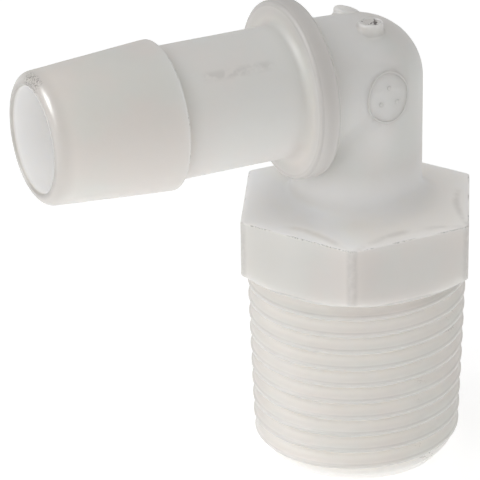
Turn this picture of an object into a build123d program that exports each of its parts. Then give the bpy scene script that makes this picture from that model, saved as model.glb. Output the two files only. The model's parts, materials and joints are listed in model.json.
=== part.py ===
"""Elbow hose fitting: a barbed tail for 1/2 inch hose at a right angle to a 1/2-14 NPT male pipe thread.

The fitting is one injection moulding. Each length of it is a solid of its own, and the solids meet
face to face: barb, stem, stop collar, elbow, wrench hexagon, pipe thread, two gate pads and a cavity
mark.

Frame: the origin is the centre of the thread's open end, +Z runs up the thread's axis, and the tail
points along -X. All sizes are in millimetres.
"""

from build123d import *
import os
from math import atan, cos, degrees, radians, sin, tan

# ---- pipe thread: 1/2-14 NPT, right-hand ----
THREADS_PER_INCH = 14
THREAD_TAPER = 1 / 16  # growth of the diameter along the axis
THREAD_ANGLE = 60.0  # between the flanks, degrees
THREAD_PITCH_DIAMETER = 19.264  # at the open end
THREAD_CREST_HEIGHT = 0.50  # above the pitch line, the crests being trimmed flat
THREAD_ROOT_DEPTH = 0.72  # below the pitch line
THREAD_LENGTH = 20.0
THREAD_END_DIAMETER = 17.0  # after the lead chamfer
THREAD_LEAD_HEIGHT = 1.95

# ---- wrench hexagon ----
HEX_ACROSS_FLATS = 21.8
HEX_HEIGHT = 6.4
HEX_CORNER_RADIUS = 0.4  # on the six upright corners
HEX_CHAMFER_MARGIN = 0.15  # from the flats out to the circle that the corners are turned down to
HEX_CHAMFER_ANGLE = 30.0  # from the end face, degrees

# ---- elbow ----
ELBOW_DIAMETER = 12.6
RISER_HEIGHT = 12.8  # from the hexagon's top face to the tail's axis
FOOT_RADIUS = 2.1  # of the hollow round between the riser and the hexagon's top face

# ---- stop collar ----
COLLAR_DIAMETER = 17.2
COLLAR_THICKNESS = 2.1
COLLAR_SET_IN = 0.2  # how far the collar's near face stands inside the elbow's upright wall
COLLAR_EDGE_RADIUS = 0.5

# ---- hose tail ----
STEM_DIAMETER = 12.65
STEM_LENGTH = 12.6
BARB_LENGTH = 12.7
BARB_DIAMETER = 14.3  # at the shoulder, the largest diameter that the hose passes over
NOSE_DIAMETER = 12.6
NOSE_RADIUS = 1.1

# ---- flow bores ----
TAIL_BORE_DIAMETER = 10.0
THREAD_BORE_DIAMETER = 13.0
THREAD_BORE_CROWN = 3.4  # from the wide bore's end up to the hexagon's top face
BORE_CONE_ANGLE = 45.0  # from the axis, degrees

# ---- gate pads on the elbow's crown ----
PAD_DIAMETER = 2.4
PAD_OFFSET = 2.35  # of each pad's axis from the plane of symmetry
PAD_DROP = 0.2  # of the pads' flat tops below the elbow's crown

# ---- cavity mark on the elbow's cheek: a plain ring round three dots ----
MARK_RING_DIAMETER = 4.6  # of the ring's centre line
MARK_LINE_WIDTH = 0.3
MARK_DOT_DIAMETER = 0.6
MARK_DOT_CIRCLE = 2.0  # diameter of the circle that the dots stand on
MARK_RELIEF = 0.12  # of the mark above the elbow's surface

# ---- places that follow from the sizes ----
PITCH = 25.4 / THREADS_PER_INCH
THREAD_SLOPE = THREAD_TAPER / 2  # growth of the radius along the axis
HEX_TOP = THREAD_LENGTH + HEX_HEIGHT
FOOT_TOP = HEX_TOP + FOOT_RADIUS
TAIL_AXIS_HEIGHT = HEX_TOP + RISER_HEIGHT
THREAD_BORE_DEPTH = HEX_TOP - THREAD_BORE_CROWN
COLLAR_NEAR_X = COLLAR_SET_IN - ELBOW_DIAMETER / 2
COLLAR_FAR_X = COLLAR_NEAR_X - COLLAR_THICKNESS
SHOULDER_X = COLLAR_FAR_X - STEM_LENGTH
NOSE_X = SHOULDER_X - BARB_LENGTH
OVERSHOOT = 1.0  # how far a cutting shape runs past the face it opens


def revolved(*points):
    """A solid of revolution about Z, from its outline's (radius, height) points."""
    outline = Polyline(*[(radius, 0, height) for radius, height in points], close=True)
    return revolve(make_face(outline), Axis.Z)


def tail_rod(diameter, near_x, far_x):
    """A round rod on the tail's axis between two places along X."""
    rod = Cylinder(diameter / 2, abs(far_x - near_x), rotation=(0, 90, 0))
    return Pos((near_x + far_x) / 2, 0, TAIL_AXIS_HEIGHT) * rod


def upright_rod(diameter, low_z, high_z):
    """A round rod on the thread's axis between two heights."""
    return Pos(0, 0, (low_z + high_z) / 2) * Cylinder(diameter / 2, high_z - low_z)


def right_angle_bend(diameter, low_z, far_x):
    """A rod up the thread's axis that turns, round a ball-shaped corner, along the tail's axis."""
    corner = Pos(0, 0, TAIL_AXIS_HEIGHT) * Sphere(diameter / 2)
    return upright_rod(diameter, low_z, TAIL_AXIS_HEIGHT) + tail_rod(diameter, far_x, 0) + corner


def elbow_outside(diameter=ELBOW_DIAMETER):
    """The elbow's outer form, from the foot's top to the stop collar."""
    return right_angle_bend(diameter, FOOT_TOP, COLLAR_NEAR_X)


def flow_path():
    """The whole waterway, from the thread's open end to the tail's mouth."""
    cone_height = (THREAD_BORE_DIAMETER - TAIL_BORE_DIAMETER) / 2 / tan(radians(BORE_CONE_ANGLE))
    cone_top = THREAD_BORE_DEPTH + cone_height
    entry = revolved(
        (0, -OVERSHOOT),
        (THREAD_BORE_DIAMETER / 2, -OVERSHOOT),
        (THREAD_BORE_DIAMETER / 2, THREAD_BORE_DEPTH),
        (TAIL_BORE_DIAMETER / 2, cone_top),
        (0, cone_top),
    )
    return entry + right_angle_bend(TAIL_BORE_DIAMETER, cone_top - OVERSHOOT, NOSE_X - OVERSHOOT)


def thread_radius(z):
    """The radius of the thread's pitch line at a height above the open end."""
    return THREAD_PITCH_DIAMETER / 2 + THREAD_SLOPE * z


def thread_groove():
    """The helical groove between the threads, from below the open end to above the hexagon's face."""
    flank = tan(radians(THREAD_ANGLE / 2))
    overcut = 0.2  # how far the groove's section stands out past the crests
    start_z = -PITCH
    start_radius = thread_radius(start_z)
    outer_radius = start_radius + THREAD_CREST_HEIGHT + overcut
    root_radius = start_radius - THREAD_ROOT_DEPTH
    outer_half_width = PITCH / 4 + (outer_radius - start_radius) * flank
    root_half_width = PITCH / 4 - THREAD_ROOT_DEPTH * flank
    section = Polyline(
        (outer_radius, 0, start_z - outer_half_width),
        (root_radius, 0, start_z - root_half_width),
        (root_radius, 0, start_z + root_half_width),
        (outer_radius, 0, start_z + outer_half_width),
        close=True,
    )
    cone_angle = degrees(atan(THREAD_SLOPE))
    path = Helix(PITCH, THREAD_LENGTH + 2 * PITCH, start_radius, (0, 0, start_z), cone_angle=cone_angle)
    return sweep(make_face(section), path, is_frenet=True)


def pipe_thread():
    """The male thread, from the lead chamfer at its open end to the hexagon's face."""
    end_radius = THREAD_END_DIAMETER / 2
    lead_radius = thread_radius(THREAD_LEAD_HEIGHT) + THREAD_CREST_HEIGHT
    top_radius = thread_radius(THREAD_LENGTH) + THREAD_CREST_HEIGHT
    blank = revolved(
        (0, 0),
        (end_radius, 0),
        (lead_radius, THREAD_LEAD_HEIGHT),
        (top_radius, THREAD_LENGTH),
        (0, THREAD_LENGTH),
    )
    return blank - thread_groove() - flow_path()


def riser_foot():
    """The flare between the riser and the hexagon's top face, hollow-cheeked and round."""
    riser_radius = ELBOW_DIAMETER / 2
    rim = (riser_radius + FOOT_RADIUS, 0, HEX_TOP)
    waist = (riser_radius, 0, FOOT_TOP)
    sag = FOOT_RADIUS * (1 - cos(radians(45)))
    cheek = ThreePointArc(rim, (riser_radius + sag, 0, HEX_TOP + sag), waist)
    rest = Polyline(waist, (0, 0, FOOT_TOP), (0, 0, HEX_TOP), rim)
    return revolve(make_face(cheek + rest), Axis.Z)


def wrench_hex():
    """The hexagon and the riser's foot; two corners are in line with the tail, and the thread side is
    turned down to a circle."""
    prism = extrude(RegularPolygon(HEX_ACROSS_FLATS / 2, 6, major_radius=False), HEX_HEIGHT)
    prism = fillet(prism.edges().filter_by(Axis.Z), HEX_CORNER_RADIUS)
    chamfer_reach = HEX_HEIGHT / tan(radians(HEX_CHAMFER_ANGLE))
    chamfer_radius = HEX_ACROSS_FLATS / 2 + HEX_CHAMFER_MARGIN
    turned = revolved(
        (0, 0),
        (chamfer_radius, 0),
        (chamfer_radius + chamfer_reach, HEX_HEIGHT),
        (0, HEX_HEIGHT),
    )
    return Pos(0, 0, THREAD_LENGTH) * (prism & turned) + riser_foot() - flow_path()


def elbow_body():
    """The bend, from the riser's foot to the stop collar."""
    collar_space = tail_rod(COLLAR_DIAMETER, COLLAR_NEAR_X, COLLAR_FAR_X)
    return elbow_outside() - collar_space - flow_path()


def stop_collar():
    """The collar that the hose is pushed up against."""
    disc = tail_rod(COLLAR_DIAMETER, COLLAR_NEAR_X, COLLAR_FAR_X)
    return fillet(disc.edges(), COLLAR_EDGE_RADIUS) - flow_path()


def hose_stem():
    """The plain length of the tail that the hose and its clamp close on."""
    return tail_rod(STEM_DIAMETER, COLLAR_FAR_X, SHOULDER_X) - flow_path()


def hose_barb():
    """The single long barb and its rounded nose."""
    cone = revolved(
        (0, 0),
        (BARB_DIAMETER / 2, 0),
        (NOSE_DIAMETER / 2, BARB_LENGTH),
        (0, BARB_LENGTH),
    )
    cone = Pos(SHOULDER_X, 0, TAIL_AXIS_HEIGHT) * Rot(0, -90, 0) * cone
    nose_edge = cone.edges().sort_by(Axis.X)[0]
    return fillet(nose_edge, NOSE_RADIUS) - flow_path()


def gate_pad(side):
    """A flat-topped round pad that stands out of the elbow's crown; side is -1 or +1 along Y."""
    pad_height = ELBOW_DIAMETER / 2 - PAD_DROP
    pad = Cylinder(PAD_DIAMETER / 2, pad_height, align=(Align.CENTER, Align.CENTER, Align.MIN))
    pad = Pos(0, side * PAD_OFFSET, TAIL_AXIS_HEIGHT) * pad
    return pad - elbow_outside()


def cavity_mark():
    """A ring round three dots, standing just proud of the elbow's cheek on the -Y side."""
    cheek = ELBOW_DIAMETER / 2 + MARK_RELIEF
    outer = Cylinder(MARK_RING_DIAMETER / 2 + MARK_LINE_WIDTH / 2, cheek)
    inner = Cylinder(MARK_RING_DIAMETER / 2 - MARK_LINE_WIDTH / 2, cheek)
    stamp = outer - inner
    for turn in (90, 210, 330):
        x = MARK_DOT_CIRCLE / 2 * cos(radians(turn))
        y = MARK_DOT_CIRCLE / 2 * sin(radians(turn))
        stamp += Pos(x, y, 0) * Cylinder(MARK_DOT_DIAMETER / 2, cheek)
    stamp = Pos(0, -cheek / 2, TAIL_AXIS_HEIGHT) * Rot(90, 0, 0) * stamp
    return (stamp & elbow_outside(2 * cheek)) - elbow_outside()


def main():
    """Write each solid of the fitting to a STEP file of its own."""
    nodes = {
        "hose_barb": hose_barb(),
        "hose_stem": hose_stem(),
        "stop_collar": stop_collar(),
        "elbow_body": elbow_body(),
        "wrench_hex": wrench_hex(),
        "pipe_thread": pipe_thread(),
        "gate_pad_front": gate_pad(-1),
        "gate_pad_back": gate_pad(1),
        "cavity_mark": cavity_mark(),
    }
    os.makedirs("parts", exist_ok=True)
    for name, shape in nodes.items():
        export_step(shape, f"parts/{name}.step")


main()
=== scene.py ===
import json
from math import atan2, cos, pi, radians, sin, sqrt, tan

import bpy
import numpy as np
from mathutils import Matrix, Vector, noise


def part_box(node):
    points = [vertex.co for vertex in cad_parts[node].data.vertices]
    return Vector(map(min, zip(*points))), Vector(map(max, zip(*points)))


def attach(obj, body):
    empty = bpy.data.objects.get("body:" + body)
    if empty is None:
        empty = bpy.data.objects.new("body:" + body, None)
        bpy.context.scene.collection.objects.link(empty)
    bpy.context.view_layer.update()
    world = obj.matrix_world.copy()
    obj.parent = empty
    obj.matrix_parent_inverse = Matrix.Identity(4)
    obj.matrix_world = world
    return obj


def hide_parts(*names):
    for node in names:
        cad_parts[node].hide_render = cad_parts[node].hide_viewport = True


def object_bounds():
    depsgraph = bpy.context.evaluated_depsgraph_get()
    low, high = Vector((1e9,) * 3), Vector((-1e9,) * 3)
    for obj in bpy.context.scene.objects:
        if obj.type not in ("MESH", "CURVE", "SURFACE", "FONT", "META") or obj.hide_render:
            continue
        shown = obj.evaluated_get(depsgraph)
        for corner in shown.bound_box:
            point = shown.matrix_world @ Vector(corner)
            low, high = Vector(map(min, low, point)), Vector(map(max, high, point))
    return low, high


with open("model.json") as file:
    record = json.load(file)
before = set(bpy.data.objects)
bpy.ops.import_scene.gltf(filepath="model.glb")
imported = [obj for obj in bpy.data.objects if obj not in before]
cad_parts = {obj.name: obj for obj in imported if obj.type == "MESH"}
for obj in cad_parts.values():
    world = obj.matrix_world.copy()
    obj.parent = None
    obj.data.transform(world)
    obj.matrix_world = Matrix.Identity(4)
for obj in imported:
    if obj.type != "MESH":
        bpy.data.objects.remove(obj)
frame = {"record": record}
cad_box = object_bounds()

MM = 0.001

# ---- places that the frame gives, in metres ----
hex_low, hex_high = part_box("wrench_hex")
elbow_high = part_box("elbow_body")[1]
collar_low, collar_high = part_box("stop_collar")
stem_low, stem_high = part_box("hose_stem")
barb_low, barb_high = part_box("hose_barb")
pad_low, pad_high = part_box("gate_pad_back")
mark_low, mark_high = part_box("cavity_mark")
bore_radius = {m["name"]: m["dims"].get("r_mm", 0) * MM for m in frame["record"]["mounts"]}
bore_length = {m["name"]: m["dims"].get("length_mm", 0) * MM for m in frame["record"]["mounts"]}

TAIL_Z = (collar_low.z + collar_high.z) / 2
TUBE_R = elbow_high.y
HEX_FLAT_R = hex_high.y
HEX_BOTTOM = hex_low.z
FOOT_TOP = hex_high.z
COLLAR_R = collar_high.y
COLLAR_NEAR = collar_high.x
COLLAR_FAR = collar_low.x
STEM_R = stem_high.y
SHOULDER = stem_low.x
BARB_R = barb_high.y
NOSE = barb_low.x
PAD_R = (pad_high.x - pad_low.x) / 2
PAD_Y = pad_high.y - PAD_R
WIDE_BORE_R = bore_radius["thread_port"]
BORE_R = bore_radius["hose_port"]

# ---- moulded detail, in metres ----
FOOT_R = 2.1 * MM  # hollow round at the riser's foot
HEX_TOP = FOOT_TOP - FOOT_R
HEX_CORNER_R = 0.6 * MM
HEX_EDGE_R = 0.10 * MM
HEX_FACET_SLOPE = tan(radians(12.2))
HEX_CONE_SLOPE = tan(radians(5.4))
HEX_TURNED_R = HEX_FLAT_R + 0.15 * MM  # circle that the corners are turned down to
HEX_TURNED_SLOPE = tan(radians(30))
HEX_TURNED_HEIGHT = 0.9 * MM
CROTCH_R = 1.65 * MM  # hollow round under the bend
COLLAR_EDGE_R = 0.34 * MM
NOSE_EDGE_R = 1.15 * MM
NOSE_R = 6.3 * MM
COLLAR_ROOT_R = 0.9 * MM
SMALL_ROUND = 0.22 * MM  # at the barb's shoulder
CROWN_DRAFT = 0.045  # share of its height that the elbow's crown loses by the bend
STUB_X = 0.20 * MM  # centre of the torn stub along the tail
STEM_MIDDLE = (SHOULDER + COLLAR_FAR) / 2
SHARP_EDGE = radians(42)

THREAD_PITCH = 25.4 * MM / 14
THREAD_SLOPE = 1 / 32  # growth of the radius with height, a taper of 1 in 16
THREAD_PITCH_R = 9.632 * MM  # pitch line at the open end
THREAD_CREST = 0.50 * MM
THREAD_ROOT = 0.72 * MM
THREAD_FLANK = tan(radians(30))
THREAD_START = 1.02 * MM  # height of a crest on the +X side
LEAD_END_R = 8.5 * MM
LEAD_HEIGHT = 1.95 * MM

# ---- points round each part of the skin ----
THREAD_COLUMNS = 192
TAIL_COLUMNS = 144
BORE_COLUMNS = 96
STUB_COLUMNS = 72
MARK_COLUMNS = 120
DOT_COLUMNS = 20


# ---- mesh building ----
def solid_from_rings(name, rings):
    """A closed mesh through a list of rings of points, with a flat cap on the first and the last."""
    count = len(rings[0])
    points = np.concatenate(rings)
    faces = []
    for row in range(len(rings) - 1):
        for col in range(count):
            nxt = (col + 1) % count
            low, high = row * count, (row + 1) * count
            faces.append((low + col, low + nxt, high + nxt, high + col))
    last = (len(rings) - 1) * count
    faces.append(tuple(range(count - 1, -1, -1)))
    faces.append(tuple(range(last, last + count)))
    return new_object(name, points, faces)


def new_object(name, points, faces):
    """A mesh object in the scene, its faces pointing outwards."""
    mesh = bpy.data.meshes.new(name)
    mesh.from_pydata([tuple(p) for p in points], [], faces)
    mesh.validate()
    piece = bpy.data.objects.new(name, mesh)
    bpy.context.scene.collection.objects.link(piece)
    if signed_volume(mesh) < 0:
        mesh.flip_normals()
    return piece


def signed_volume(mesh):
    """The mesh's volume, negative when its faces point inwards."""
    mesh.calc_loop_triangles()
    corners = np.zeros(len(mesh.loop_triangles) * 3, np.int32)
    mesh.loop_triangles.foreach_get("vertices", corners)
    places = np.zeros(len(mesh.vertices) * 3)
    mesh.vertices.foreach_get("co", places)
    a, b, c = places.reshape(-1, 3)[corners.reshape(-1, 3)].transpose(1, 0, 2)
    return float(np.einsum("ij,ij->i", a, np.cross(b, c)).sum()) / 6


def combine(base, tool, operation):
    """Join the tool to the base, or cut it out of the base, and remove the tool."""
    cut = base.modifiers.new("combine", "BOOLEAN")
    cut.operation = operation
    cut.solver = "EXACT"
    cut.object = tool
    view = bpy.context.evaluated_depsgraph_get()
    mesh = bpy.data.meshes.new_from_object(base.evaluated_get(view))
    base.modifiers.clear()
    old = base.data
    base.data = mesh
    bpy.data.meshes.remove(old)
    spent = tool.data
    bpy.data.objects.remove(tool)
    bpy.data.meshes.remove(spent)


def upright_ring(turns, radius, height):
    """Points round the thread's axis; radius and height may vary round the ring."""
    radius = np.broadcast_to(radius, turns.shape)
    height = np.broadcast_to(height, turns.shape)
    return np.stack([radius * np.cos(turns), radius * np.sin(turns), height], axis=1)


def tail_ring(turns, radius, x):
    """Points round the tail's axis, counted from its top so that they follow on from an upright ring."""
    radius = np.broadcast_to(radius, turns.shape)
    x = np.broadcast_to(x, turns.shape)
    return np.stack([x, radius * np.sin(turns), TAIL_Z + radius * np.cos(turns)], axis=1)


def round_arc(centre, radius, first, last, steps):
    """(x, y) points of an arc between two angles in degrees."""
    angles = np.radians(np.linspace(first, last, steps + 1))
    return [(centre[0] + radius * cos(a), centre[1] + radius * sin(a)) for a in angles]


def crown_share(x):
    """Height of the elbow's crown as a share of a round tube's: the draft lowers it towards the bend."""
    along = np.clip((np.asarray(x) - COLLAR_NEAR) / -COLLAR_NEAR, 0, 1)
    return 1 - CROWN_DRAFT * along


def bend_rings(turns, radius, low_z, far_x, crotch, steps=20, straight_steps=8):
    """Rings up the thread's axis, round a ball-shaped corner and along the tail's axis."""
    reach = radius * np.cos(turns)
    y = radius * np.sin(turns)
    hollow = np.minimum(0.0, reach)
    hollow_round = crotch * (1 - (1 - np.abs(np.cos(turns))) ** 2)
    fillet = np.where(reach < 0, hollow_round, np.maximum(reach, 0))
    centre_x = np.where(reach < 0, hollow - fillet, 0.0)
    centre_z = np.where(reach < 0, TAIL_Z + hollow - fillet, TAIL_Z)
    rings = []
    for share in np.linspace(0, 1, straight_steps + 1)[:-1]:
        rings.append(np.stack([reach, y, low_z + share * (centre_z - low_z)], axis=1))
    for angle in np.linspace(0, pi / 2, steps + 1):
        x = centre_x + fillet * cos(angle)
        z = centre_z + fillet * sin(angle)
        rings.append(np.stack([x, y, z], axis=1))
    for share in np.linspace(0, 1, straight_steps + 1)[1:]:
        x = centre_x + share * (far_x - centre_x)
        rings.append(np.stack([x, y, TAIL_Z + reach], axis=1))
    return rings


# ---- the moulding ----
def hex_turns(corner_points=7, flat_points=18):
    """Angles round the hexagon, close together at its corners, two of which are in line with the tail."""
    span = atan2(HEX_CORNER_R / 2, (HEX_FLAT_R - HEX_CORNER_R) / cos(pi / 6) + HEX_CORNER_R * cos(pi / 6))
    turns = []
    for corner in range(6):
        middle = corner * pi / 3
        turns += list(np.linspace(middle - span, middle + span, corner_points))
        turns += list(np.linspace(middle + span, middle + pi / 3 - span, flat_points)[1:-1])
    return np.array(turns)


def hex_radius(turns):
    """Distance from the axis to a hexagon with rounded corners."""
    from_corner = np.abs((turns + pi / 6) % (pi / 3) - pi / 6)
    heart = (HEX_FLAT_R - HEX_CORNER_R) / cos(pi / 6)
    tangent = atan2(HEX_CORNER_R / 2, heart + HEX_CORNER_R * cos(pi / 6))
    on_corner = heart * np.cos(from_corner) + np.sqrt(
        np.maximum(HEX_CORNER_R**2 - (heart * np.sin(from_corner)) ** 2, 0)
    )
    return np.where(from_corner < tangent, on_corner, HEX_FLAT_R / np.cos(pi / 6 - from_corner))


def hex_top_height(radius, turns):
    """Height of the hexagon's top: a shallow cone, shaved to a sloping facet along each flat."""
    from_flat = np.abs(turns % (pi / 3) - pi / 6)
    across = radius * np.cos(from_flat)
    facet = (HEX_FLAT_R - across) * HEX_FACET_SLOPE
    cone = (HEX_FLAT_R / cos(pi / 6) - radius) * HEX_CONE_SLOPE
    return HEX_TOP + np.minimum(facet, cone)


def upper_body():
    """Hexagon, foot, riser and bend, as far as the inside of the collar."""
    turns = hex_turns()
    outline = hex_radius(turns)
    turned_top = HEX_BOTTOM + HEX_TURNED_HEIGHT
    rings = []
    for rise in np.linspace(0, HEX_TURNED_HEIGHT, 10):
        turned = HEX_TURNED_R + rise / HEX_TURNED_SLOPE
        rings.append(upright_ring(turns, np.minimum(outline, turned), HEX_BOTTOM + rise))
    for share in (0.35, 0.7):
        rings.append(upright_ring(turns, outline, turned_top + share * (HEX_TOP - turned_top)))
    for inset, height in round_arc((-HEX_EDGE_R, HEX_TOP - HEX_EDGE_R), HEX_EDGE_R, 0, 90, 3):
        rings.append(upright_ring(turns, outline + inset, height))
    foot_r = TUBE_R + FOOT_R
    for share in np.linspace(0, 1, 14)[1:-1]:
        radius = outline - HEX_EDGE_R + share * (foot_r - outline + HEX_EDGE_R)
        rings.append(upright_ring(turns, radius, hex_top_height(radius, turns)))
    brow = hex_top_height(foot_r, np.array([0.0]))[0]
    for radius, height in round_arc((foot_r, brow + FOOT_R), FOOT_R, 270, 180, 9):
        rings.append(upright_ring(turns, radius, height))
    riser_low = brow + FOOT_R + 0.2 * MM
    inside_collar = COLLAR_FAR + 0.15 * MM
    for ring in bend_rings(turns, TUBE_R, riser_low, inside_collar, CROTCH_R):
        rise = ring[:, 2] - TAIL_Z
        ring[:, 2] = TAIL_Z + np.where(rise > 0, rise * crown_share(ring[:, 0]), rise)
        rings.append(ring)
    return solid_from_rings("moulded_body", rings)


def tail():
    """Collar, stem and barb, turned about the tail's axis."""
    turns = np.linspace(0, 2 * pi, TAIL_COLUMNS, endpoint=False)
    edge = COLLAR_EDGE_R
    small = SMALL_ROUND
    rim = 0.14 * MM
    barb_lean = 94  # degrees, of the line square to the barb's side, which leans in towards the nose
    profile = round_arc((COLLAR_NEAR - edge, COLLAR_R - edge), edge, 0, 90, 6)
    profile += round_arc((COLLAR_FAR + edge, COLLAR_R - edge), edge, 90, 180, 6)
    profile += round_arc((COLLAR_FAR - COLLAR_ROOT_R, STEM_R + COLLAR_ROOT_R), COLLAR_ROOT_R, 0, -90, 8)
    profile += [(x, STEM_R) for x in np.linspace(COLLAR_FAR - COLLAR_ROOT_R, SHOULDER + small, 14)[1:-1]]
    profile += round_arc((SHOULDER + small, STEM_R + small), small, 270, 180, 4)
    profile += round_arc((SHOULDER - rim, BARB_R - rim), rim, 0, barb_lean, 4)
    start_x, start_r = SHOULDER - rim, BARB_R
    nose = round_arc((NOSE + NOSE_EDGE_R, NOSE_R - NOSE_EDGE_R), NOSE_EDGE_R, barb_lean, 180, 10)
    end_x, end_r = nose[0]
    for share in np.linspace(0, 1, 12)[1:-1]:
        profile.append((start_x + share * (end_x - start_x), start_r + share * (end_r - start_r)))
    profile += nose
    return solid_from_rings("tail", [tail_ring(turns, radius, x) for x, radius in profile])


def thread_outline():
    """(height, radius offset) points of one pitch of the thread, crest in the middle, with worn crests."""
    crest_half = THREAD_PITCH / 4 - THREAD_CREST * THREAD_FLANK
    root_half = THREAD_PITCH / 4 - THREAD_ROOT * THREAD_FLANK
    soft = 0.09 * MM
    half = [
        (0.0, THREAD_CREST),
        (crest_half - soft, THREAD_CREST),
        (crest_half - 0.2 * soft, THREAD_CREST - 0.25 * soft),
        (crest_half + 0.5 * soft, THREAD_CREST - soft),
        (THREAD_PITCH / 4, 0.0),
        (THREAD_PITCH / 2 - root_half - 0.4 * soft, -THREAD_ROOT + 0.8 * soft),
        (THREAD_PITCH / 2 - root_half * 0.4, -THREAD_ROOT),
    ]
    return [(-h, r) for h, r in half[:0:-1]] + half


def thread():
    """The male thread: columns of points up its side that follow the helix, zipped together at one seam."""
    outline = thread_outline()
    top = HEX_BOTTOM + 0.5 * MM
    keep_low, keep_high = 0.12 * MM, top - 0.05 * MM
    pitch_number = -1
    heights = []
    offsets = []
    while THREAD_START + pitch_number * THREAD_PITCH <= top + THREAD_PITCH:
        base = THREAD_START + pitch_number * THREAD_PITCH
        heights += [base + h for h, _ in outline]
        offsets += [r for _, r in outline]
        pitch_number += 1
    heights = np.array(heights)
    offsets = np.array(offsets)
    chains = []
    for col in range(THREAD_COLUMNS):
        turn = 2 * pi * col / THREAD_COLUMNS
        z = heights + THREAD_PITCH * col / THREAD_COLUMNS
        keep = (z > keep_low) & (z < keep_high)
        z = np.concatenate([[0.0], z[keep], [top]])
        offset = np.concatenate([[0.0], offsets[keep], [THREAD_CREST]])
        radius = THREAD_PITCH_R + THREAD_SLOPE * z + offset
        lead = LEAD_END_R + (THREAD_PITCH_R + THREAD_CREST - LEAD_END_R) * z / LEAD_HEIGHT
        radius = np.minimum(radius, lead)
        chains.append(np.stack([radius * cos(turn), radius * sin(turn), z], axis=1))
    starts = np.cumsum([0] + [len(c) for c in chains])
    faces = []
    for col in range(THREAD_COLUMNS):
        nxt = (col + 1) % THREAD_COLUMNS
        faces += zipped(chains[col], chains[nxt], starts[col], starts[nxt])
    faces.append(tuple(int(starts[c]) for c in range(THREAD_COLUMNS - 1, -1, -1)))
    faces.append(tuple(int(starts[c] + len(chains[c]) - 1) for c in range(THREAD_COLUMNS)))
    return new_object("thread", np.concatenate(chains), faces)


def zipped(left, right, left_start, right_start):
    """Faces between two upright chains of points, pairing points of like height along the helix."""
    rise = THREAD_PITCH / THREAD_COLUMNS
    level = 0.3 * rise + 1e-9
    faces = []
    i = j = 0
    while i < len(left) - 1 or j < len(right) - 1:
        left_next = left[i + 1][2] + rise if i < len(left) - 1 else None
        right_next = right[j + 1][2] if j < len(right) - 1 else None
        a, b = int(left_start + i), int(right_start + j)
        both = left_next is not None and right_next is not None
        if both and abs(left_next - right_next) < level:
            faces.append((a, b, b + 1, a + 1))
            i += 1
            j += 1
        elif right_next is None or (both and left_next < right_next):
            faces.append((a, b, a + 1))
            i += 1
        else:
            faces.append((a, b, b + 1))
            j += 1
    return faces


def waterway():
    """The bore, from below the thread's open end to beyond the tail's mouth."""
    off_seam = 0.01  # radians, so that no column of the bore lines up with one of the body
    turns = np.linspace(0, 2 * pi, BORE_COLUMNS, endpoint=False) + off_seam
    cone_low = bore_length["thread_port"]
    cone_high = cone_low + WIDE_BORE_R - BORE_R
    lip = 0.15 * MM
    beyond = 1.0 * MM
    rings = [upright_ring(turns, WIDE_BORE_R + 1.5 * beyond, -beyond)]
    rings += [upright_ring(turns, WIDE_BORE_R + lip, -0.02 * MM), upright_ring(turns, WIDE_BORE_R, lip)]
    rings += [upright_ring(turns, WIDE_BORE_R, z) for z in np.linspace(lip, cone_low, 12)[1:]]
    rings += [upright_ring(turns, BORE_R, cone_high)]
    rings += bend_rings(turns, BORE_R, cone_high + 0.5 * MM, NOSE + 2 * lip, crotch=0.3 * MM)
    mouth = [(NOSE + lip, BORE_R + 0.3 * lip), (NOSE, BORE_R + lip), (NOSE - beyond, BORE_R + 1.2 * beyond)]
    rings += [tail_ring(turns, radius, x) for x, radius in mouth]
    return solid_from_rings("waterway", rings)


def moulded_body():
    """The whole moulding as one closed skin, outside and bore."""
    body = upper_body()
    combine(body, tail(), "UNION")
    combine(body, thread(), "UNION")
    combine(body, waterway(), "DIFFERENCE")
    front_top = pad_high.z + 0.10 * MM
    front = gate_pad("torn_stub", (STUB_X, -PAD_Y), front_top, lean=0.0, soft=0.12, torn=1.0)
    back = gate_pad("round_stub", (0.05 * MM, PAD_Y), pad_high.z, lean=-0.28, soft=0.40, torn=0.0)
    combine(body, front, "UNION")
    combine(body, back, "UNION")
    body.data.shade_smooth()
    body.data.set_sharp_from_angle(angle=SHARP_EDGE)
    return body


def elbow_top(x, y):
    """Height of the elbow's outside above a place near its crown."""
    return TAIL_Z + float(crown_share(x)) * sqrt(TUBE_R**2 - y**2 - max(x, 0.0) ** 2)


def gate_pad(name, centre, top, lean, soft, torn):
    """A short round stub where the plastic was let in: a flared foot, a rounded brow and a broken top."""
    turns = np.linspace(0, 2 * pi, STUB_COLUMNS, endpoint=False)
    # Each point is a share of the pad's radius and a share of the climb from the elbow to the pad's top.
    flare = [(1.02, -0.25), (1.28, -0.04), (1.14, 0.05), (1.05, 0.18), (1.01, 0.36), (1.0, 0.5)]
    brow = [(1 - soft + soft * cos(a), 1 - 0.45 * (1 - sin(a))) for a in np.linspace(0.1, pi / 2, 7)]
    flat = [((1 - soft) * share, 1.0) for share in (0.9, 0.8, 0.7, 0.6, 0.5, 0.4, 0.3, 0.2, 0.1, 0.04)]
    tear_scale, bulge_scale = 1500, 900  # lumps to the metre
    rings = []
    for share, climb in flare + brow + flat:
        ring = []
        for turn in turns:
            x, y = share * PAD_R * cos(turn), share * PAD_R * sin(turn)
            spot = Vector((x, y, 0))
            crest = top + lean * x
            surface = elbow_top(centre[0] + x, centre[1] + y)
            height = surface + climb * max(crest - surface, 0.2 * MM)
            if climb == 1.0:
                ragged = noise.fractal(spot * tear_scale, 0.8, 2.1, 4)
                hollow = max(0.0, 1 - share / 0.75)
                height += torn * (0.10 * ragged - 0.16 * hollow) * MM
            wide = 1 + torn * 0.03 * noise.noise(spot * bulge_scale)
            ring.append((centre[0] + wide * x, centre[1] + wide * y, height))
        rings.append(np.array(ring))
    return solid_from_rings(name, rings)


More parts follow.
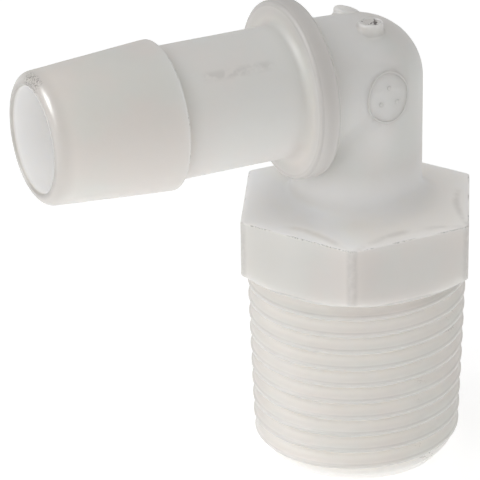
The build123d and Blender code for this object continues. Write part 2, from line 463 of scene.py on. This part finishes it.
def cheek_depth(x, z):
    """How far the elbow's side stands out from the middle plane at a place on it."""
    rise = z - TAIL_Z
    if rise > 0:
        rise /= float(crown_share(x))
    if x > 0 and rise > 0:
        return sqrt(TUBE_R**2 - x**2 - rise**2)
    if x > 0:
        return sqrt(TUBE_R**2 - x**2)
    if rise > 0:
        return sqrt(TUBE_R**2 - rise**2)
    return sqrt(TUBE_R**2 - min(x**2, rise**2))


def cavity_mark():
    """A fine raised ring with three dots, laid on the curve of the elbow's side."""
    middle = ((mark_low.x + mark_high.x) / 2 + 0.12 * MM, (mark_low.z + mark_high.z) / 2 - 0.10 * MM)
    half_line = 0.13 * MM
    ring_r = (mark_high.x - mark_low.x) / 2 - half_line
    narrow, tall = 0.95, 1.05
    dot_r = 0.24 * MM
    dot_circle_r = 1.0 * MM
    relief = 0.035 * MM
    sunk = 0.08 * MM
    points = []
    faces = []

    def place(x, z, proud):
        return (x, -cheek_depth(x, z) - proud, z)

    # Each point is a share of the line's half width, or of the dot's radius, and how far it stands out.
    section = [(-1.0, -sunk), (-0.9, 0.2 * relief), (-0.5, 0.8 * relief), (0.0, relief)]
    section += [(0.5, 0.8 * relief), (0.9, 0.2 * relief), (1.0, -sunk)]
    rows = [(1.0, -sunk), (0.95, 0.2 * relief), (0.7, 0.7 * relief), (0.35, 0.95 * relief)]
    for step in range(MARK_COLUMNS):
        turn = 2 * pi * step / MARK_COLUMNS
        for across, proud in section:
            radius = ring_r + across * half_line
            x = middle[0] + narrow * radius * cos(turn)
            points.append(place(x, middle[1] + tall * radius * sin(turn), proud))
    wide = len(section)
    for step in range(MARK_COLUMNS):
        here, after = step * wide, (step + 1) % MARK_COLUMNS * wide
        for col in range(wide):
            nxt = (col + 1) % wide
            faces.append((here + col, after + col, after + nxt, here + nxt))
    for dot in range(3):
        turn = pi / 2 + dot * 2 * pi / 3
        heart = (middle[0] + dot_circle_r * cos(turn), middle[1] + dot_circle_r * sin(turn))
        start = len(points)
        for share, proud in rows:
            for col in range(DOT_COLUMNS):
                angle = 2 * pi * col / DOT_COLUMNS
                x = heart[0] + share * dot_r * cos(angle)
                points.append(place(x, heart[1] + share * dot_r * sin(angle), proud))
        for row in range(len(rows) - 1):
            low, high = start + row * DOT_COLUMNS, start + (row + 1) * DOT_COLUMNS
            for col in range(DOT_COLUMNS):
                nxt = (col + 1) % DOT_COLUMNS
                faces.append((low + col, low + nxt, high + nxt, high + col))
        last = start + (len(rows) - 1) * DOT_COLUMNS
        faces.append(tuple(start + col for col in range(DOT_COLUMNS - 1, -1, -1)))
        faces.append(tuple(last + col for col in range(DOT_COLUMNS)))
    mark = new_object("cavity_ring", np.array(points), faces)
    mark.data.shade_smooth()
    return mark


# ---- plastic ----
class Graph:
    """Short names for building one material's nodes."""

    def __init__(self, name):
        self.material = bpy.data.materials.new(name)
        self.material.use_nodes = True
        self.nodes = self.material.node_tree.nodes
        self.links = self.material.node_tree.links
        self.shader = self.nodes["Principled BSDF"]
        self.position = self.nodes.new("ShaderNodeTexCoord").outputs["Object"]
        self.x, self.y, self.z = self.axes()
        self.from_thread_axis = self.distance(self.x, self.y)
        self.from_tail_axis = self.distance(self.y, self.math("SUBTRACT", self.z, TAIL_Z))

    def feed(self, socket, value):
        if isinstance(value, bpy.types.NodeSocket):
            self.links.new(value, socket)
        else:
            socket.default_value = value

    def axes(self):
        split = self.nodes.new("ShaderNodeSeparateXYZ")
        self.feed(split.inputs[0], self.position)
        return split.outputs[0], split.outputs[1], split.outputs[2]

    def math(self, operation, a, b=0.0):
        node = self.nodes.new("ShaderNodeMath")
        node.operation = operation
        self.feed(node.inputs[0], a)
        self.feed(node.inputs[1], b)
        return node.outputs[0]

    def product(self, *factors):
        result = factors[0]
        for factor in factors[1:]:
            result = self.math("MULTIPLY", result, factor)
        return result

    def distance(self, a, b):
        return self.math("SQRT", self.math("ADD", self.math("POWER", a, 2), self.math("POWER", b, 2)))

    def ramp(self, value, start, end):
        """0 at the start and 1 at the end, with a soft step between; the start may be above the end."""
        node = self.nodes.new("ShaderNodeMapRange")
        node.interpolation_type = "SMOOTHSTEP"
        low, high = min(start, end), max(start, end)
        self.feed(node.inputs["Value"], value)
        node.inputs["From Min"].default_value = low
        node.inputs["From Max"].default_value = high
        node.inputs["To Min"].default_value = 0.0 if start < end else 1.0
        node.inputs["To Max"].default_value = 1.0 if start < end else 0.0
        return node.outputs["Result"]

    def near(self, value, middle, solid, soft):
        """1 within a distance of the middle, fading to 0."""
        away = self.math("ABSOLUTE", self.math("SUBTRACT", value, middle))
        return self.ramp(away, soft, solid)

    def noise(self, grain, detail=2.0, stretch=(1, 1, 1)):
        """Noise whose lumps are about one grain across."""
        scale = self.nodes.new("ShaderNodeVectorMath")
        scale.operation = "MULTIPLY"
        self.feed(scale.inputs[0], self.position)
        scale.inputs[1].default_value = [1 / (grain * s) for s in stretch]
        node = self.nodes.new("ShaderNodeTexNoise")
        node.inputs["Scale"].default_value = 1.0
        node.inputs["Detail"].default_value = detail
        self.feed(node.inputs["Vector"], scale.outputs[0])
        return node.outputs["Fac"]

    def mix(self, factor, a, b):
        node = self.nodes.new("ShaderNodeMix")
        node.data_type = "RGBA"
        self.feed(node.inputs["Factor"], factor)
        self.feed(node.inputs["A"], a)
        self.feed(node.inputs["B"], b)
        return node.outputs["Result"]

    def tint(self, colour, tone, strength, *masks):
        """The colour, turned towards a tone where all the masks meet."""
        return self.mix(self.product(*masks, strength), colour, tone)

    def bump(self, height, distance, strength):
        node = self.nodes.new("ShaderNodeBump")
        node.inputs["Strength"].default_value = strength
        node.inputs["Distance"].default_value = distance
        self.feed(node.inputs["Height"], height)
        self.feed(self.shader.inputs["Normal"], node.outputs["Normal"])


WARM = (0.735, 0.700, 0.668, 1)
COOL = (0.715, 0.712, 0.680, 1)
# painted light: pale tones that stand in for light coming through the plastic
PAINTED_LIGHT_TONE = (0.93, 0.90, 0.866, 1)
PAINTED_BRIGHT_LIGHT_TONE = (0.985, 0.96, 0.93, 1)
# dull grey: painted shade on the hexagon's sides and the collar, and dirt on the torn stub's top
DULL_AND_SHADE = (0.56, 0.545, 0.53, 1)
# dark grey: painted shade on edges, crests and creases, and darker marks elsewhere
DARK_AND_SHADE = (0.40, 0.385, 0.37, 1)
GRIME = (0.06, 0.05, 0.045, 1)
MARK_WARM = (0.66, 0.635, 0.61, 1)
MARK_COOL = (0.645, 0.64, 0.615, 1)


def satin(graph):
    """The skin that all the plastic shares: a soft sheen over fine and broad unevenness."""
    graph.shader.inputs["Specular IOR Level"].default_value = 0.5
    fine = graph.noise(0.22 * MM, 3.0)
    broad = graph.noise(1.6 * MM, 2.0)
    graph.bump(graph.math("ADD", graph.math("MULTIPLY", fine, 0.35), broad), 0.05 * MM, 0.4)
    return broad


def past_pitch_line(g):
    """Distance from the thread's axis, less what the taper adds."""
    return g.math("SUBTRACT", g.from_thread_axis, g.math("MULTIPLY", g.z, THREAD_SLOPE))


def thread_root(g):
    """1 in the thread's roots."""
    return g.product(
        g.ramp(past_pitch_line(g), THREAD_PITCH_R + 0.35 * MM, THREAD_PITCH_R - 0.45 * MM),
        g.ramp(g.from_thread_axis, WIDE_BORE_R + 1.1 * MM, WIDE_BORE_R + 1.3 * MM),
        g.ramp(g.z, HEX_BOTTOM, HEX_BOTTOM - 0.2 * MM),
    )


def chamfer_line(g):
    """1 along the curves on the hexagon's top where its facets meet the cone, on the mark's side; painted
    shade goes there.
    """
    turn = g.math("FLOORED_MODULO", g.math("ARCTAN2", g.y, g.x), pi / 3)
    across = g.math("MULTIPLY", g.from_thread_axis, g.math("COSINE", g.math("SUBTRACT", turn, pi / 6)))
    facet = g.math("MULTIPLY", g.math("SUBTRACT", HEX_FLAT_R, across), HEX_FACET_SLOPE)
    from_corner = g.math("SUBTRACT", HEX_FLAT_R / cos(pi / 6), g.from_thread_axis)
    cone = g.math("MULTIPLY", from_corner, HEX_CONE_SLOPE)
    return g.product(
        g.near(g.math("SUBTRACT", facet, cone), 0.0, 0.0, 0.075 * MM),
        g.near(g.z, HEX_TOP + 0.2 * MM, 0.22 * MM, 0.3 * MM),
        g.ramp(g.from_thread_axis, HEX_FLAT_R - 1.9 * MM, HEX_FLAT_R - 1.6 * MM),
        g.ramp(g.y, -2.5 * MM, -4.5 * MM),
    )


def add_painted_light(g, colour):
    """Painted light: paler where light comes through the wall; painted shade: a little duller on the
    hexagon's thick sides.
    """
    stem_half = COLLAR_FAR - STEM_MIDDLE
    stem = g.near(g.x, STEM_MIDDLE, stem_half - 2.0 * MM, stem_half)
    hex_side = g.product(
        g.ramp(g.z, HEX_TOP, HEX_TOP - 0.2 * MM),
        g.ramp(g.z, HEX_BOTTOM, HEX_BOTTOM + 0.3 * MM),
        g.ramp(g.from_thread_axis, HEX_FLAT_R - 0.5 * MM, HEX_FLAT_R - 0.1 * MM),
    )
    elbow = g.product(
        g.near(g.x, -2.2 * MM, 1.2 * MM, 4.0 * MM),
        g.ramp(g.x, COLLAR_NEAR, COLLAR_NEAR + 0.3 * MM),
        g.ramp(g.z, TAIL_Z - 8.2 * MM, TAIL_Z - 3.2 * MM),
    )
    foot = g.product(
        g.near(g.z, HEX_TOP + 1.2 * MM, 1.0 * MM, 4.5 * MM),
        g.ramp(g.z, HEX_TOP - 0.1 * MM, HEX_TOP + 0.05 * MM),
    )
    under_tail = g.product(
        g.ramp(g.x, -3 * MM, -7 * MM),
        g.near(g.z, HEX_TOP + 0.5 * MM, 0.6 * MM, 1.2 * MM),
        g.ramp(g.z, HEX_TOP - 0.05 * MM, HEX_TOP + 0.02 * MM),
    )
    bore = g.product(
        g.ramp(g.from_tail_axis, BORE_R + 0.35 * MM, BORE_R + 0.15 * MM),
        g.ramp(g.x, -1.5 * MM, -2.5 * MM),
        g.ramp(g.x, NOSE + 0.15 * MM, NOSE + 0.5 * MM),
    )
    # painted light on the stem, the thread's roots, the elbow, the riser's foot, under the tail and in the
    # bore; painted shade on the hexagon's sides
    colour = g.tint(colour, PAINTED_LIGHT_TONE, 0.22, stem)
    colour = g.tint(colour, DULL_AND_SHADE, 0.18, hex_side)
    colour = g.tint(colour, PAINTED_LIGHT_TONE, 1.0, thread_root(g))
    colour = g.tint(colour, PAINTED_LIGHT_TONE, 0.4, elbow)
    colour = g.tint(colour, PAINTED_LIGHT_TONE, 0.9, foot)
    colour = g.tint(colour, PAINTED_BRIGHT_LIGHT_TONE, 1.0, under_tail)
    return g.tint(colour, PAINTED_BRIGHT_LIGHT_TONE, 1.0, bore)


def add_painted_edge_shade(g, colour):
    """Painted shade, duller where edges stand out: the thread's crests, the hexagon's lower edge and the
    collar.
    """
    crest = g.product(
        g.ramp(past_pitch_line(g), THREAD_PITCH_R + 0.26 * MM, THREAD_PITCH_R + 0.42 * MM),
        g.ramp(g.z, HEX_BOTTOM - 0.05 * MM, HEX_BOTTOM - 0.15 * MM),
    )
    low_edge = g.product(
        g.near(g.z, HEX_BOTTOM, 0.08 * MM, 0.35 * MM),
        g.ramp(g.from_thread_axis, HEX_FLAT_R - 0.55 * MM, HEX_FLAT_R - 0.30 * MM),
    )
    on_collar = g.ramp(g.from_tail_axis, COLLAR_R + 0.4 * MM, COLLAR_R + 0.2 * MM)
    rim = g.product(
        g.near(g.x, (COLLAR_NEAR + COLLAR_FAR) / 2, 0.9 * MM, 1.1 * MM),
        g.ramp(g.from_tail_axis, COLLAR_R - 2.0 * MM, COLLAR_R - 0.8 * MM),
        on_collar,
    )
    face = g.product(
        g.near(g.x, COLLAR_FAR - 0.1 * MM, 0.35 * MM, 0.6 * MM),
        g.ramp(g.from_tail_axis, COLLAR_R - 1.7 * MM, COLLAR_R - 0.7 * MM),
        on_collar,
    )
    colour = g.tint(colour, DARK_AND_SHADE, 0.42, crest)
    colour = g.tint(colour, DARK_AND_SHADE, 0.8, low_edge)
    colour = g.tint(colour, DULL_AND_SHADE, 1.0, rim)
    return g.tint(colour, DULL_AND_SHADE, 0.6, face)


def add_dark_marks_and_painted_shade(g, colour):
    """Soft darker marks on the hexagon's corners, round the mouth and along the stem, and painted shade on
    the collar's edges and along the curves on the hexagon's top.
    """
    corner = g.product(
        g.ramp(g.from_thread_axis, HEX_FLAT_R + 1.3 * MM, HEX_FLAT_R + 1.54 * MM),
        g.ramp(g.z, HEX_TOP + 0.6 * MM, HEX_TOP),
    )
    mouth = g.product(
        g.ramp(g.x, NOSE + 1.9 * MM, NOSE + 0.1 * MM),
        g.ramp(g.from_tail_axis, BORE_R + 0.1 * MM, BORE_R + 0.2 * MM),
    )
    lip = g.product(
        g.ramp(g.x, NOSE + 0.30 * MM, NOSE + 0.12 * MM),
        g.ramp(g.from_tail_axis, BORE_R + 0.7 * MM, BORE_R + 0.2 * MM),
    )
    streak = g.product(
        g.near(g.x, STEM_MIDDLE - 0.1 * MM, 2.6 * MM, 4.0 * MM),
        g.near(g.y, -4.25 * MM, 0.1 * MM, 0.55 * MM),
        g.ramp(g.z, TAIL_Z + 3.3 * MM, TAIL_Z + 3.8 * MM),
        g.ramp(g.noise(0.9 * MM, 2.0), 0.35, 0.6),
    )
    edge_lines = g.math(
        "MAXIMUM",
        g.near(g.x, COLLAR_FAR + 0.14 * MM, 0.05 * MM, 0.26 * MM),
        g.near(g.x, COLLAR_NEAR - 0.14 * MM, 0.05 * MM, 0.26 * MM),
    )
    rim_lines = g.product(
        edge_lines,
        g.ramp(g.from_tail_axis, COLLAR_R - 0.6 * MM, COLLAR_R - 0.4 * MM),
        g.ramp(g.from_tail_axis, COLLAR_R + 0.4 * MM, COLLAR_R + 0.2 * MM),
    )
    patches = g.ramp(g.noise(2.2 * MM, 3.0), 0.30, 0.62)
    fine_patches = g.ramp(g.noise(0.5 * MM, 2.0), 0.25, 0.65)
    colour = g.tint(colour, DARK_AND_SHADE, 0.22, corner)
    colour = g.tint(colour, DARK_AND_SHADE, 0.2, corner, fine_patches)
    colour = g.tint(colour, DARK_AND_SHADE, 0.45, mouth)
    colour = g.tint(colour, DARK_AND_SHADE, 0.85, lip)
    colour = g.tint(colour, DARK_AND_SHADE, 0.25, streak)
    # painted shade where the collar's rounded edges catch the light
    colour = g.tint(colour, DARK_AND_SHADE, 0.65, rim_lines)
    # painted shade along the curves on the hexagon's top
    return g.tint(colour, DARK_AND_SHADE, 0.28, chamfer_line(g), patches)


def add_grime(g, colour):
    """Specks that catch on the sharp edges, in the thread and on the rubbed patch of the nose."""
    specks = g.noise(0.13 * MM, 1.0)
    worn = g.ramp(g.noise(2.8 * MM, 2.0), 0.40, 0.58)
    hex_edge = g.product(
        g.near(g.z, HEX_TOP - 0.02 * MM, 0.0, 0.06 * MM),
        g.ramp(g.from_thread_axis, HEX_FLAT_R - 0.40 * MM, HEX_FLAT_R - 0.15 * MM),
    )
    barb_edge = g.product(
        g.near(g.x, SHOULDER, 0.03 * MM, 0.14 * MM),
        g.ramp(g.from_tail_axis, BARB_R - 0.35 * MM, BARB_R - 0.15 * MM),
    )
    on_edges = g.product(g.math("MAXIMUM", hex_edge, barb_edge), worn, g.ramp(specks, 0.46, 0.60), 0.8)
    in_thread = g.product(
        thread_root(g),
        g.ramp(specks, 0.62, 0.68),
        g.ramp(g.noise(3.1 * MM, 1.0), 0.63, 0.69),
        g.ramp(g.x, 1 * MM, 3 * MM),
    )
    from_patch = g.distance(g.y, g.math("SUBTRACT", g.z, TAIL_Z + 5.7 * MM))
    rubbed = g.product(
        g.ramp(from_patch, 2.1 * MM, 0.9 * MM),
        g.ramp(g.x, NOSE + 0.9 * MM, NOSE + 0.5 * MM),
        g.ramp(specks, 0.50, 0.60),
        0.6,
    )
    return g.mix(g.math("MAXIMUM", on_edges, g.math("MAXIMUM", in_thread, rubbed)), colour, GRIME)


def add_stub_tones(g, colour):
    """The torn stub: a darker ring round it, a dull top and dark flecks in the tear."""
    from_stub = g.distance(g.math("SUBTRACT", g.x, STUB_X), g.math("ADD", g.y, PAD_Y))
    on_crown = g.ramp(g.z, TAIL_Z + 5.0 * MM, TAIL_Z + 5.2 * MM)
    ring = g.near(from_stub, 1.25 * MM, 0.05 * MM, 0.22 * MM)
    flecks = g.ramp(g.noise(0.5 * MM, 2.0), 0.52, 0.60)
    colour = g.tint(colour, DARK_AND_SHADE, 0.35, ring, on_crown)
    colour = g.tint(colour, DULL_AND_SHADE, 0.7, g.ramp(from_stub, 1.2 * MM, 1.0 * MM), on_crown)
    return g.tint(colour, GRIME, 0.9, on_crown, g.ramp(from_stub, 1.0 * MM, 0.8 * MM), flecks)


def body_plastic():
    """Translucent natural plastic with its marks of use, painted light and painted shade."""
    g = Graph("natural_plastic_body")
    g.shader.inputs["Subsurface Weight"].default_value = 1.0
    g.shader.inputs["Subsurface Radius"].default_value = (1.0, 0.96, 0.9)
    g.shader.inputs["Subsurface Scale"].default_value = 3.0 * MM
    broad = satin(g)
    colour = g.mix(g.ramp(g.noise(7 * MM, 3.0), 0.35, 0.65), WARM, COOL)
    colour = add_painted_light(g, colour)
    colour = add_painted_edge_shade(g, colour)
    colour = add_dark_marks_and_painted_shade(g, colour)
    colour = add_grime(g, colour)
    colour = add_stub_tones(g, colour)
    g.feed(g.shader.inputs["Base Color"], colour)
    roughness = g.math("ADD", g.math("MULTIPLY", broad, 0.2), 0.46)
    polish = g.product(g.ramp(g.x, NOSE + 1.7 * MM, NOSE + 1.1 * MM), 0.18)
    g.feed(g.shader.inputs["Roughness"], g.math("SUBTRACT", roughness, polish))
    return g.material


def mark_plastic():
    """The same plastic for the fine raised mark, too thin for light to spread in."""
    g = Graph("natural_plastic_mark")
    broad = satin(g)
    g.feed(g.shader.inputs["Base Color"], g.mix(g.ramp(broad, 0.35, 0.65), MARK_WARM, MARK_COOL))
    g.feed(g.shader.inputs["Roughness"], g.math("ADD", g.math("MULTIPLY", broad, 0.2), 0.36))
    return g.material


def add_piece(piece, material, *nodes):
    """Give a finished piece its material, hang it under the root body and hide the CAD nodes that it stands
    for.
    """
    piece.data.materials.clear()
    piece.data.materials.append(material)
    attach(piece, "root")
    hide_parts(*nodes)


add_piece(
    moulded_body(), body_plastic(),
    "hose_barb", "hose_stem", "stop_collar", "elbow_body", "wrench_hex", "pipe_thread",
    "gate_pad_front", "gate_pad_back",
)
add_piece(cavity_mark(), mark_plastic(), "cavity_mark")


# ---- floor, lights and camera ----
HEART = ((cad_box[0][0] + cad_box[1][0]) / 2, 0, (cad_box[0][2] + cad_box[1][2]) / 2)


def add_floor():
    """A wide white floor that glows faintly, like paper lit from all round."""
    bpy.ops.mesh.primitive_plane_add(size=12.0, location=(0, 0, -0.05 * MM))
    floor = bpy.context.object
    floor.name = "floor"
    paper = bpy.data.materials.new("floor_paper")
    paper.use_nodes = True
    shader = paper.node_tree.nodes["Principled BSDF"]
    shader.inputs["Base Color"].default_value = (0.95, 0.95, 0.95, 1)
    shader.inputs["Roughness"].default_value = 0.9
    shader.inputs["Emission Color"].default_value = (1, 1, 1, 1)
    shader.inputs["Emission Strength"].default_value = 0.40
    floor.data.materials.append(paper)


def softbox(name, place, side, power):
    """A square soft light aimed at the middle of the fitting."""
    light = bpy.data.lights.new(name, "AREA")
    light.shape = "RECTANGLE"
    light.size = light.size_y = side
    light.energy = power
    lamp = bpy.data.objects.new(name, light)
    lamp.location = place
    lamp.rotation_euler = (Vector(HEART) - Vector(place)).to_track_quat("-Z", "Y").to_euler()
    bpy.context.scene.collection.objects.link(lamp)
    return lamp


def add_world():
    """White all round: dimmer as light on the fitting than as the backdrop that the camera sees."""
    world = bpy.data.worlds.new("studio")
    world.use_nodes = True
    nodes, links = world.node_tree.nodes, world.node_tree.links
    sky = nodes["Background"]
    backdrop = nodes.new("ShaderNodeBackground")
    for white, strength in ((sky, 0.37), (backdrop, 0.9)):
        white.inputs["Color"].default_value = (1, 1, 1, 1)
        white.inputs["Strength"].default_value = strength
    seen_or_light = nodes.new("ShaderNodeMixShader")
    rays = nodes.new("ShaderNodeLightPath")
    links.new(rays.outputs["Is Camera Ray"], seen_or_light.inputs[0])
    links.new(sky.outputs[0], seen_or_light.inputs[1])
    links.new(backdrop.outputs[0], seen_or_light.inputs[2])
    links.new(seen_or_light.outputs[0], nodes["World Output"].inputs["Surface"])
    bpy.context.scene.world = world


add_floor()
softbox("key_left", (-0.64, -0.26, 0.28), 0.5, 0.92)
glint = softbox("glint", (-0.58, 0.13, 0.48), 0.20, 10.0)
glint.visible_diffuse = False  # it shows in the gloss only, for the highlight on the nose
softbox("fill_top", (-0.05, 0.05, 0.70), 1.3, 2.55)
add_world()
bpy.context.scene.view_settings.view_transform = "Standard"

# The camera looks down on the fitting from the mark's side, a little towards the tail.
CAMERA_TURN = radians(25.717)
CAMERA_RISE = radians(24.935)
CAMERA_ROLL = radians(-0.865)
CAMERA_DISTANCE = 302.5 * MM
CAMERA_AIM = Vector((-12.62, 0, 24.64)) * MM
FRAME_PIXELS = 480
FOCAL_PIXELS = 3163.6

camera_data = bpy.data.cameras.new("camera")
camera = bpy.data.objects.new("camera", camera_data)
bpy.context.scene.collection.objects.link(camera)
bpy.context.scene.camera = camera
out = Vector((-sin(CAMERA_TURN) * cos(CAMERA_RISE), -cos(CAMERA_TURN) * cos(CAMERA_RISE), sin(CAMERA_RISE)))
side = Vector((0, 0, 1)).cross(out).normalized()
above = out.cross(side)
rolled_side = cos(CAMERA_ROLL) * side + sin(CAMERA_ROLL) * above
rolled_above = cos(CAMERA_ROLL) * above - sin(CAMERA_ROLL) * side
camera.matrix_world = Matrix.Translation(CAMERA_AIM + CAMERA_DISTANCE * out) @ Matrix(
    (rolled_side, rolled_above, out)
).transposed().to_4x4()
camera_data.sensor_width = 36
camera_data.lens = FOCAL_PIXELS / FRAME_PIXELS * camera_data.sensor_width
camera_data.clip_start = 0.01
